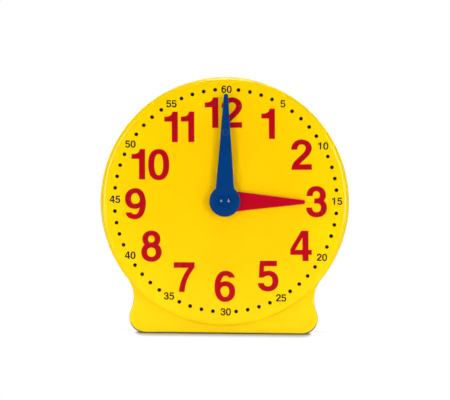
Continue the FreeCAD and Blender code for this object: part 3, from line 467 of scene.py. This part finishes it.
def moulded_styrene(name, middle_colour, outer_colour, rubbed_and_sheen, roughness, edge=0.6, shine=0.3):
    """Injection-moulded high-impact polystyrene, pigmented right through."""
    # The colour turns from the middle colour to the outer one with distance from the axis; on
    # the yellow the paler rim and foot are painted light, a lift in place of light thrown up
    # from the table.  It clouds a little over a few cm.  The tool's spark texture scatters
    # highlights; it is drawn at 1.4 mm, about four times too coarse, so that it shows.  The skin
    # is glossier in patches that lay longer against the steel.  Edges are painted paler, partly
    # rubbing and partly a painted highlight along their rounding, and the foot's low,
    # down-facing edges are painted with a grey shade.
    material, tree, surface, place = new_finish(name)
    # Painted light on the yellow: its outer colour is paler, so rim and foot read brighter.
    from_axis = add_node(tree, "ShaderNodeMapping",
                         {"Vector": place, "Location": (-AXIS.x, 0, -AXIS.z), "Scale": (1, 0, 1)})
    reach_from_axis = add_node(tree, "ShaderNodeVectorMath", {0: from_axis.outputs[0]}, operation="LENGTH")
    painted_rim_share = add_node(tree, "ShaderNodeMapRange",
                     {"Value": reach_from_axis.outputs["Value"], "From Min": PAINTED_RIM_TONE_FROM, "From Max": PAINTED_RIM_TONE_TO})
    clouds = add_node(tree, "ShaderNodeTexNoise", {"Vector": place, "Scale": 1 / (38 * MM),
                                                   "Detail": 3})
    drift = add_node(tree, "ShaderNodeMapRange",
                     {"Value": clouds.outputs[0], "From Min": NOISE_LOW, "From Max": NOISE_HIGH,
                      "To Min": -CLOUDING, "To Max": CLOUDING})
    share = add_node(tree, "ShaderNodeMath", {0: painted_rim_share.outputs[0], 1: drift.outputs[0]},
                     use_clamp=True)
    body = add_node(tree, "ShaderNodeMix", {0: share.outputs[0], 6: linear(middle_colour),
                                            7: linear(outer_colour)}, data_type="RGBA")
    # Edges are paler in colour: partly rubbing, partly a painted highlight along their rounding.
    rounded = add_node(tree, "ShaderNodeBevel", {"Radius": edge * MM}, samples=EDGE_SAMPLES)
    normal = add_node(tree, "ShaderNodeNewGeometry").outputs["Normal"]
    alike = add_node(tree, "ShaderNodeVectorMath", {0: rounded.outputs[0], 1: normal},
                     operation="DOT_PRODUCT")
    wear_and_sheen = add_node(tree, "ShaderNodeMapRange",
                    {"Value": alike.outputs["Value"], "From Min": PALE_EDGE_FROM, "From Max": PALE_EDGE_FULL})
    colour = add_node(tree, "ShaderNodeMix", {0: wear_and_sheen.outputs[0], 6: body.outputs[2],
                                              7: linear(rubbed_and_sheen)}, data_type="RGBA")
    # Painted shade: the foot's low, down-facing edges and corners are greyed where the table lights them little.
    facing = add_node(tree, "ShaderNodeSeparateXYZ", {0: normal}).outputs["Z"]
    under = add_node(tree, "ShaderNodeMapRange", {"Value": facing, "From Min": UNDER_FROM,
                                                  "From Max": UNDER_FULL})
    parts = add_node(tree, "ShaderNodeSeparateXYZ", {0: place}).outputs
    low = add_node(tree, "ShaderNodeMapRange", {"Value": parts["Z"], "From Min": SHADE_UNDER_FROM,
                                                "From Max": SHADE_UNDER_FULL, "To Max": SHADE_UNDER_SHARE})
    on_foot = add_node(tree, "ShaderNodeMapRange",
                       {"Value": parts["Y"], "From Min": FOOT_FRONT - MM, "From Max": FOOT_FRONT})
    low_foot = add_node(tree, "ShaderNodeMath", {0: low.outputs[0], 1: on_foot.outputs[0]},
                        operation="MULTIPLY")
    painted_under_shade = add_node(tree, "ShaderNodeMath", {0: under.outputs[0], 1: low_foot.outputs[0]},
                       operation="MULTIPLY")
    finish = add_node(tree, "ShaderNodeMix", {0: painted_under_shade.outputs[0], 6: colour.outputs[2],
                                              7: linear(UNDERSIDE_SHADE)}, data_type="RGBA")
    skin = add_node(tree, "ShaderNodeTexNoise", {"Vector": place, "Scale": 1 / (9 * MM),
                                                 "Detail": 2})
    gloss = add_node(tree, "ShaderNodeMapRange",
                     {"Value": skin.outputs[0], "From Min": NOISE_LOW, "From Max": NOISE_HIGH,
                      "To Min": roughness - 0.02, "To Max": roughness + 0.03})
    spark = add_node(tree, "ShaderNodeTexNoise", {"Vector": place, "Scale": 1 / (1.4 * MM),
                                                  "Detail": 2})
    grain = add_node(tree, "ShaderNodeBump", {"Height": spark.outputs[0], "Distance": 0.015 * MM,
                                              "Strength": 0.3, "Normal": rounded.outputs[0]})
    sink = add_node(tree, "ShaderNodeBump", {"Height": skin.outputs[0], "Distance": 0.05 * MM,
                                             "Strength": 0.1, "Normal": grain.outputs[0]})
    tree.links.new(finish.outputs[2], surface.inputs["Base Color"])
    tree.links.new(gloss.outputs[0], surface.inputs["Roughness"])
    tree.links.new(sink.outputs[0], surface.inputs["Normal"])
    surface.inputs["IOR"].default_value = 1.59
    surface.inputs["Specular IOR Level"].default_value = shine
    return material


def screen_ink(name, colour, thin):
    """Screen-printed gloss vinyl ink: a level film that the mesh lays down unevenly."""
    # Mesh marks are 0.3 mm apart and drawn at 1.2 mm; the film thins over some cm.
    material, tree, surface, place = new_finish(name)
    film = add_node(tree, "ShaderNodeTexNoise", {"Vector": place, "Scale": 1 / (14 * MM),
                                                 "Detail": 3})
    thinned = add_node(tree, "ShaderNodeMapRange", {"Value": film.outputs[0], "From Min": NOISE_LOW,
                                                    "From Max": NOISE_HIGH})
    tint = add_node(tree, "ShaderNodeMix", {0: thinned.outputs[0], 6: linear(colour),
                                            7: linear(thin)}, data_type="RGBA")
    gloss = add_node(tree, "ShaderNodeMapRange", {"Value": thinned.outputs[0], "To Min": 0.22,
                                                  "To Max": 0.28})
    weave = add_node(tree, "ShaderNodeTexNoise", {"Vector": place, "Scale": 1 / (1.2 * MM),
                                                  "Detail": 1})
    marks = add_node(tree, "ShaderNodeBump", {"Height": weave.outputs[0], "Distance": 0.01 * MM,
                                              "Strength": 0.3})
    tree.links.new(tint.outputs[2], surface.inputs["Base Color"])
    tree.links.new(gloss.outputs[0], surface.inputs["Roughness"])
    tree.links.new(marks.outputs[0], surface.inputs["Normal"])
    surface.inputs["IOR"].default_value = 1.48
    surface.inputs["Specular IOR Level"].default_value = 0.25
    return material


def natural_acetal():
    """Milky unpigmented acetal of moulded gears: waxy, with light getting a little way in."""
    # Flow marks are some 6 mm across and show as a slightly warmer, duller patch.
    material, tree, surface, place = new_finish("natural_acetal")
    flow = add_node(tree, "ShaderNodeTexNoise", {"Vector": place, "Scale": 1 / (6 * MM),
                                                 "Detail": 3})
    marked = add_node(tree, "ShaderNodeMapRange", {"Value": flow.outputs[0], "From Min": NOISE_LOW,
                                                   "From Max": NOISE_HIGH})
    tint = add_node(tree, "ShaderNodeMix", {0: marked.outputs[0], 6: linear("EDEBE2"),
                                            7: linear("E2DFD3")}, data_type="RGBA")
    gloss = add_node(tree, "ShaderNodeMapRange", {"Value": marked.outputs[0], "To Min": 0.36,
                                                  "To Max": 0.46})
    rounded = add_node(tree, "ShaderNodeBevel", {"Radius": 0.12 * MM}, samples=EDGE_SAMPLES)
    waves = add_node(tree, "ShaderNodeBump", {"Height": flow.outputs[0], "Distance": 0.1 * MM,
                                              "Strength": 0.12, "Normal": rounded.outputs[0]})
    tree.links.new(tint.outputs[2], surface.inputs["Base Color"])
    tree.links.new(gloss.outputs[0], surface.inputs["Roughness"])
    tree.links.new(waves.outputs[0], surface.inputs["Normal"])
    surface.inputs["IOR"].default_value = 1.48
    surface.inputs["Subsurface Weight"].default_value = 0.12
    surface.inputs["Subsurface Scale"].default_value = 1.5 * MM
    return material


def zinc_plated_steel():
    """Bright zinc on cold-headed steel: bluish, with faint drawing lines and a cloudy gloss."""
    # The lines are 0.05 mm apart and drawn at 0.25 mm; zinc spangle clouds every 2 mm.
    material, tree, surface, place = new_finish("zinc_plated_steel")
    cloud = add_node(tree, "ShaderNodeTexNoise", {"Vector": place, "Scale": 1 / (2.2 * MM),
                                                  "Detail": 2})
    spangle = add_node(tree, "ShaderNodeMapRange",
                       {"Value": cloud.outputs[0], "From Min": NOISE_LOW, "From Max": NOISE_HIGH})
    tint = add_node(tree, "ShaderNodeMix", {0: spangle.outputs[0], 6: linear("C9CDD2"),
                                            7: linear("B4B9C2")}, data_type="RGBA")
    gloss = add_node(tree, "ShaderNodeMapRange", {"Value": spangle.outputs[0], "To Min": 0.22,
                                                  "To Max": 0.36})
    drawn = add_node(tree, "ShaderNodeMapping", {"Vector": place, "Scale": (1, 0.08, 1)})
    lines = add_node(tree, "ShaderNodeTexNoise",
                     {"Vector": drawn.outputs[0], "Scale": 1 / (0.25 * MM), "Detail": 2})
    rounded = add_node(tree, "ShaderNodeBevel", {"Radius": 0.15 * MM}, samples=EDGE_SAMPLES)
    scored = add_node(tree, "ShaderNodeBump", {"Height": lines.outputs[0], "Distance": 0.02 * MM,
                                               "Strength": 0.25, "Normal": rounded.outputs[0]})
    tree.links.new(tint.outputs[2], surface.inputs["Base Color"])
    tree.links.new(gloss.outputs[0], surface.inputs["Roughness"])
    tree.links.new(scored.outputs[0], surface.inputs["Normal"])
    surface.inputs["Metallic"].default_value = 1.0
    return material


def moulded_rubber():
    """Black nitrile rubber: dull, with a bloom of grey and a fine pebble from the mould."""
    # The pebble is 0.2 mm and drawn at 0.7 mm; bloom comes in patches of about 5 mm.
    material, tree, surface, place = new_finish("moulded_rubber")
    bloom = add_node(tree, "ShaderNodeTexNoise", {"Vector": place, "Scale": 1 / (5 * MM),
                                                  "Detail": 3})
    dulled = add_node(tree, "ShaderNodeMapRange", {"Value": bloom.outputs[0], "From Min": NOISE_LOW,
                                                   "From Max": NOISE_HIGH})
    tint = add_node(tree, "ShaderNodeMix", {0: dulled.outputs[0], 6: linear("1B1B1C"),
                                            7: linear("2B2B2C")}, data_type="RGBA")
    gloss = add_node(tree, "ShaderNodeMapRange", {"Value": dulled.outputs[0], "To Min": 0.7,
                                                  "To Max": 0.85})
    pebble = add_node(tree, "ShaderNodeTexNoise", {"Vector": place, "Scale": 1 / (0.7 * MM),
                                                   "Detail": 1})
    rounded = add_node(tree, "ShaderNodeBevel", {"Radius": 0.2 * MM}, samples=EDGE_SAMPLES)
    skin = add_node(tree, "ShaderNodeBump", {"Height": pebble.outputs[0], "Distance": 0.06 * MM,
                                             "Strength": 0.5, "Normal": rounded.outputs[0]})
    tree.links.new(tint.outputs[2], surface.inputs["Base Color"])
    tree.links.new(gloss.outputs[0], surface.inputs["Roughness"])
    tree.links.new(skin.outputs[0], surface.inputs["Normal"])
    return material


# The paler outer yellow is painted light: it lifts the rim and foot as light from the table would.
YELLOW_STYRENE = moulded_styrene("yellow_moulded_styrene", "FFCD00", "F8DA00", "FFDE38", 0.19)
BLUE_STYRENE = moulded_styrene("blue_moulded_styrene", "003A7C", "003474", "2C62A8", 0.22)
RED_STYRENE = moulded_styrene("red_moulded_styrene", "B80021", "AE001F", "CE283C", 0.22)
POLISHED_BLUE = moulded_styrene("polished_blue_styrene", "00397A", "003374", "063C82", 0.07,
                                edge=0.1, shine=0.55)
RUBBED_AND_SHEEN_BLUE = moulded_styrene("rubbed_and_sheen_blue_styrene", "1E5296", "1A4A8C", "2C62A8", 0.2)
RED_INK = screen_ink("red_screen_ink", "B80418", "AE051C")
BLACK_INK = screen_ink("black_screen_ink", "100D09", "1A140E")
ACETAL = natural_acetal()
STEEL = zinc_plated_steel()
RUBBER = moulded_rubber()

SLOT_FINISH = {
    "yellow_case": YELLOW_STYRENE, "blue_plastic": BLUE_STYRENE, "red_plastic": RED_STYRENE,
    "white_gear_plastic": ACETAL, "steel": STEEL, "foot_rubber": RUBBER,
}


def dress(piece, finish):
    piece.data.materials.clear()
    piece.data.materials.append(finish)


for subpart in frame["record"]["subparts"]:
    node = frame["nodes"][subpart["node"]]
    for slot in node.material_slots:
        slot.material = SLOT_FINISH[subpart["material_slot"]]
for slot in frame["nodes"]["hand_cap"].material_slots:
    slot.material = POLISHED_BLUE

hour_figures = print_hour_figures()
dress(hour_figures, RED_INK)
minute_figures = print_minute_figures()
dress(minute_figures, BLACK_INK)
minute_dots = print_minute_dots(BLACK_INK)
for printed in (hour_figures, minute_figures, minute_dots):
    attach(printed, "case")

# The peg's rim is a paler blue ring: finger wear and a painted highlight on its rounding.
rim = peg_rim()
dress(rim, RUBBED_AND_SHEEN_BLUE)
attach(rim, "minute_train")

# --- studio ---------------------------------------------------------------------------

CAMERA_DISTANCE = 2.4                # m, in front of the dial's rim
VIEW_WIDTH = 0.5976                  # m across the camera's view at the dial's rim
VIEW_MIDDLE = (0.0002, 0.1777)       # m, x and z
VIEW_ROLL = 0.6                      # degrees, the camera leans so that the clock leans clockwise
RIM_FRONT = DIAL_FACE + 8 * MM       # where the rounded shoulder ends

# Soft lights that face the dial's middle: degrees aside from the view and up from the
# horizon, then m away, wide and high, then W.
LAMPS = {
    "left_box": (-46, -2, 1.25, 0.75, 0.36, 2.65),
    "right_box": (46, -2, 1.25, 0.75, 0.36, 3.25),
    "left_strip": (-46, 13, 1.25, 0.08, 0.42, 2.75),
    "right_strip": (46, 13, 1.25, 0.08, 0.42, 2.75),
    "overhead_rear": (180, 66, 1.6, 1.4, 0.7, 6),
    "back_left": (-160, 14, 1.5, 0.9, 0.7, 6.4),
    "back_right": (160, 14, 1.5, 0.9, 0.7, 6.4),
}
# A lamp with a grid on its front, which lights only the board before the clock: m, W, degrees.
TABLE_LAMP = {"above": 1.3, "before": 0.18, "width": 0.8, "depth": 0.32, "power": 0.85,
              "spread": 30}
NO_GRID = 180                        # degrees

# What the room sends from each way.  A fade runs between two backward parts of that way, from
# -1 for straight ahead of the clock to 1 for straight behind it.
WALLS = 0.38                         # of white, the light from all round but the front
WALL_TINT = (1.0, 0.8, 0.64)         # the room's wood and cream paint warm that light
FRONT_ROOM_FADE = (-0.88, -0.68)     # from the dark room in front to the walls
FAR_WALLS = 0.2                      # of white, the walls' light from the sides and from behind
FAR_FADE = (-0.5, -0.1)              # from the near walls to those
CEILING = 1.7                        # times the walls' light
CEILING_FROM = 0.8                   # upward part of a way that is all ceiling
MIRRORED_SWEEP = 0.3                 # of white, the backdrop as a glossy surface shows it
SWEEP_FADE = (0.1, 0.4)              # from nothing to that

BOARD_HALF = 6.0                     # m, half the board's side
PAINTED_SHADOW_BOARD = "A8AAAE"             # painted shadow: the board right against the foot is grey as the eye sees it
BOARD_BY_LEG = "EEF3FF"              # cooler and paler: the case's yellow falls on it there
BOARD_BOUNCE = 0.97                  # of the light, what the board throws back on the clock
MIRRORED_BOARD = 0.95                # of white, the board as a glossy surface shows it
MIRRORED_FROM = 0.4                  # m back, where it is all of that
CONTACT_REACH = 8 * MM               # from the foot, where its shadow starts to fade
SHADOW_REACH = 75 * MM               # and where the board has gone plain white
END_LIGHT = 25 * MM                  # from the foot's ends, where the painted shadow fades out sooner
END_STEEPNESS = 6                    # how suddenly: a power of the way past END_LIGHT
LEG_SHADOW_REACH = 40 * MM           # the leg's shadow comes from what is this near above the board
LEG_SHADE = 0.8                      # share of open sky at which it is full
LEG_ROOM = FOOT_BACK + 20 * MM       # how far back it starts, clear of the case's own shadow
LEG_ROOM_FADE = 10 * MM              # and over how much it comes in


def make_camera():
    data = bpy.data.cameras.new("camera")
    data.sensor_width = 36.0
    data.lens = data.sensor_width * CAMERA_DISTANCE / VIEW_WIDTH
    camera = bpy.data.objects.new("camera", data)
    place = Vector((VIEW_MIDDLE[0], RIM_FRONT - CAMERA_DISTANCE, VIEW_MIDDLE[1]))
    level = Matrix.Rotation(math.radians(90), 4, "X")
    roll = Matrix.Rotation(-math.radians(VIEW_ROLL), 4, "Y")
    camera.matrix_world = Matrix.Translation(place) @ roll @ level
    bpy.context.scene.collection.objects.link(camera)
    bpy.context.scene.camera = camera


def round_axis(aside, rise, distance):
    """Place at angles in degrees from the view axis and the horizon, about the dial's middle."""
    turn, lift = math.radians(aside), math.radians(rise)
    way = Vector((math.sin(turn) * math.cos(lift), -math.cos(turn) * math.cos(lift),
                  math.sin(lift)))
    return AXIS + way * distance


def make_light(name, place, aim, width, height, power, spread):
    """Rectangular soft light, shown only by what it lights and by mirrors."""
    data = bpy.data.lights.new(name, "AREA")
    data.shape = "RECTANGLE"
    data.size = width
    data.size_y = height
    data.energy = power
    data.spread = math.radians(spread)
    light = bpy.data.objects.new(name, data)
    facing = (place - aim).to_track_quat("Z", "Y").to_matrix().to_4x4()
    light.matrix_world = Matrix.Translation(place) @ facing
    light.visible_camera = False
    bpy.context.scene.collection.objects.link(light)


def make_lights():
    for name, (aside, rise, distance, width, height, power) in LAMPS.items():
        make_light(name, round_axis(aside, rise, distance), AXIS, width, height, power, NO_GRID)
    table = Vector((AXIS.x, DIAL_FACE - TABLE_LAMP["before"], 0))
    place = table + Vector((0, 0, TABLE_LAMP["above"]))
    make_light("table_grid", place, table, TABLE_LAMP["width"], TABLE_LAMP["depth"],
               TABLE_LAMP["power"], TABLE_LAMP["spread"])


def grey(level):
    return (level, level, level, 1.0)


def ray_kinds(tree):
    """1 or 0 for rays straight from the camera, and for rays off something shiny or clear."""
    path = add_node(tree, "ShaderNodeLightPath").outputs
    shiny = add_node(tree, "ShaderNodeMath",
                     {0: path["Is Glossy Ray"], 1: path["Is Transmission Ray"]},
                     operation="MAXIMUM").outputs[0]
    return path["Is Camera Ray"], shiny


def make_world():
    """White to the eye and in mirrors behind the clock; a dim fill round a dark front room."""
    world = bpy.data.worlds.new("studio")
    world.use_nodes = True
    tree = world.node_tree
    tree.nodes.clear()
    seen, shiny = ray_kinds(tree)
    way = add_node(tree, "ShaderNodeTexCoord").outputs["Generated"]
    parts = add_node(tree, "ShaderNodeSeparateXYZ", {0: way}).outputs
    upward = add_node(tree, "ShaderNodeMapRange", {"Value": parts["Z"], "From Max": CEILING_FROM})
    low_wall, high_wall, far_wall = [(*[level * share for share in WALL_TINT], 1.0)
                                     for level in (WALLS, CEILING * WALLS, FAR_WALLS)]
    near_walls = add_node(tree, "ShaderNodeMix", {0: upward.outputs[0], 6: low_wall, 7: high_wall},
                          data_type="RGBA")
    past_side = add_node(tree, "ShaderNodeMapRange", {"Value": parts["Y"], "From Min": FAR_FADE[0],
                                                      "From Max": FAR_FADE[1]})
    walls = add_node(tree, "ShaderNodeMix", {0: past_side.outputs[0], 6: near_walls.outputs[2],
                                             7: far_wall}, data_type="RGBA")
    beside = add_node(tree, "ShaderNodeMapRange",
                      {"Value": parts["Y"], "From Min": FRONT_ROOM_FADE[0],
                       "From Max": FRONT_ROOM_FADE[1]})
    fill = add_node(tree, "ShaderNodeMix", {0: beside.outputs[0], 6: grey(0), 7: walls.outputs[2]},
                    data_type="RGBA")
    behind = add_node(tree, "ShaderNodeMapRange", {"Value": parts["Y"], "From Min": SWEEP_FADE[0],
                                                   "From Max": SWEEP_FADE[1]})
    sweep = add_node(tree, "ShaderNodeMix", {0: behind.outputs[0], 6: grey(0),
                                             7: grey(MIRRORED_SWEEP)}, data_type="RGBA")
    unseen = add_node(tree, "ShaderNodeMix", {0: shiny, 6: fill.outputs[2], 7: sweep.outputs[2]},
                      data_type="RGBA")
    colour = add_node(tree, "ShaderNodeMix", {0: seen, 6: unseen.outputs[2], 7: grey(1)},
                      data_type="RGBA")
    sky = add_node(tree, "ShaderNodeBackground", {"Color": colour.outputs[2]})
    add_node(tree, "ShaderNodeOutputWorld", {"Surface": sky.outputs[0]})
    bpy.context.scene.world = world


def clear_of_foot(tree, place):
    """How far a place has left the shadow of the clock's foot: 0 to 1."""
    low = Vector((AXIS.x - FOOT_FLAT / 2, FOOT_FRONT, 0))
    high = Vector((AXIS.x + FOOT_FLAT / 2, FOOT_BACK, 0))
    room = (high - low) / 2 - Vector((END_LIGHT, 0, 0))
    from_middle = add_node(tree, "ShaderNodeVectorMath", {0: place, 1: (low + high) / 2},
                           operation="SUBTRACT")
    one_side = add_node(tree, "ShaderNodeVectorMath", {0: from_middle.outputs[0]},
                        operation="ABSOLUTE")
    past = add_node(tree, "ShaderNodeVectorMath", {0: one_side.outputs[0], 1: room},
                    operation="SUBTRACT")
    outside = add_node(tree, "ShaderNodeVectorMath", {0: past.outputs[0], 1: (0, 0, 0)},
                       operation="MAXIMUM")
    parts = add_node(tree, "ShaderNodeSeparateXYZ", {0: outside.outputs[0]}).outputs
    along = add_node(tree, "ShaderNodeMath", {0: parts["X"], 1: END_LIGHT}, operation="DIVIDE")
    steep = add_node(tree, "ShaderNodeMath", {0: along.outputs[0], 1: END_STEEPNESS},
                     operation="POWER")
    gap = add_node(tree, "ShaderNodeMath", {0: steep.outputs[0], 1: CONTACT_REACH, 2: parts["Y"]},
                   operation="MULTIPLY_ADD")
    clear = add_node(tree, "ShaderNodeMapRange",
                     {"Value": gap.outputs[0], "From Min": CONTACT_REACH,
                      "From Max": SHADOW_REACH}, interpolation_type="SMOOTHSTEP")
    return clear.outputs[0]


def clear_of_leg(tree, depth):
    """How far a place has left the shadow of the rear leg, wherever that is folded: 0 to 1."""
    sky = add_node(tree, "ShaderNodeAmbientOcclusion", {"Distance": LEG_SHADOW_REACH}).outputs["AO"]
    lit = add_node(tree, "ShaderNodeMapRange",
                   {"Value": sky, "From Min": LEG_SHADE, "From Max": 1.0})
    by_case = add_node(tree, "ShaderNodeMapRange",
                       {"Value": depth, "From Min": LEG_ROOM + LEG_ROOM_FADE, "From Max": LEG_ROOM})
    clear = add_node(tree, "ShaderNodeMath", {0: lit.outputs[0], 1: by_case.outputs[0]},
                     operation="MAXIMUM")
    return clear.outputs[0]


def make_floor():
    """Matt white board that reads as plain white but for the clock's contact shadow, painted grey by the foot over
    its real shading.
    """
    mesh = bpy.data.meshes.new("floor")
    corners = [(-BOARD_HALF, -BOARD_HALF, 0), (BOARD_HALF, -BOARD_HALF, 0),
               (BOARD_HALF, BOARD_HALF, 0), (-BOARD_HALF, BOARD_HALF, 0)]
    mesh.from_pydata(corners, [], [(0, 1, 2, 3)])
    floor = new_piece("floor", mesh)
    material = bpy.data.materials.new("white_board")
    material.use_nodes = True
    tree = material.node_tree
    tree.nodes.clear()
    seen, shiny = ray_kinds(tree)
    place = add_node(tree, "ShaderNodeTexCoord").outputs["Object"]
    depth = add_node(tree, "ShaderNodeSeparateXYZ", {0: place}).outputs["Y"]
    off_foot = clear_of_foot(tree, place)
    off_leg = clear_of_leg(tree, depth)
    clear = add_node(tree, "ShaderNodeMath", {0: off_foot, 1: off_leg}, operation="MULTIPLY")
    blown_out = add_node(tree, "ShaderNodeMath", {0: clear.outputs[0], 1: seen},
                         operation="MULTIPLY")
    behind = add_node(tree, "ShaderNodeMapRange", {"Value": depth, "From Max": MIRRORED_FROM})
    sweep = add_node(tree, "ShaderNodeMix", {0: behind.outputs[0], 6: grey(0),
                                             7: grey(MIRRORED_BOARD)}, data_type="RGBA")
    unseen = add_node(tree, "ShaderNodeMix", {0: shiny, 6: grey(BOARD_BOUNCE), 7: sweep.outputs[2]},
                      data_type="RGBA")
    by_leg = add_node(tree, "ShaderNodeMath", {0: off_foot, 1: clear.outputs[0]},
                      operation="SUBTRACT")
    looked_at = add_node(tree, "ShaderNodeMix",
                         {0: by_leg.outputs[0], 6: linear(PAINTED_SHADOW_BOARD), 7: linear(BOARD_BY_LEG)},
                         data_type="RGBA")
    colour = add_node(tree, "ShaderNodeMix", {0: seen, 6: unseen.outputs[2],
                                              7: looked_at.outputs[2]}, data_type="RGBA")
    board = add_node(tree, "ShaderNodeBsdfDiffuse", {"Color": colour.outputs[2]})
    white = add_node(tree, "ShaderNodeEmission", {"Color": grey(1), "Strength": 1.0})
    surface = add_node(tree, "ShaderNodeMixShader", {0: blown_out.outputs[0], 1: board.outputs[0],
                                                     2: white.outputs[0]})
    add_node(tree, "ShaderNodeOutputMaterial", {"Surface": surface.outputs[0]})
    dress(floor, material)


make_camera()
make_lights()
make_world()
make_floor()
bpy.context.scene.view_settings.view_transform = "Standard"
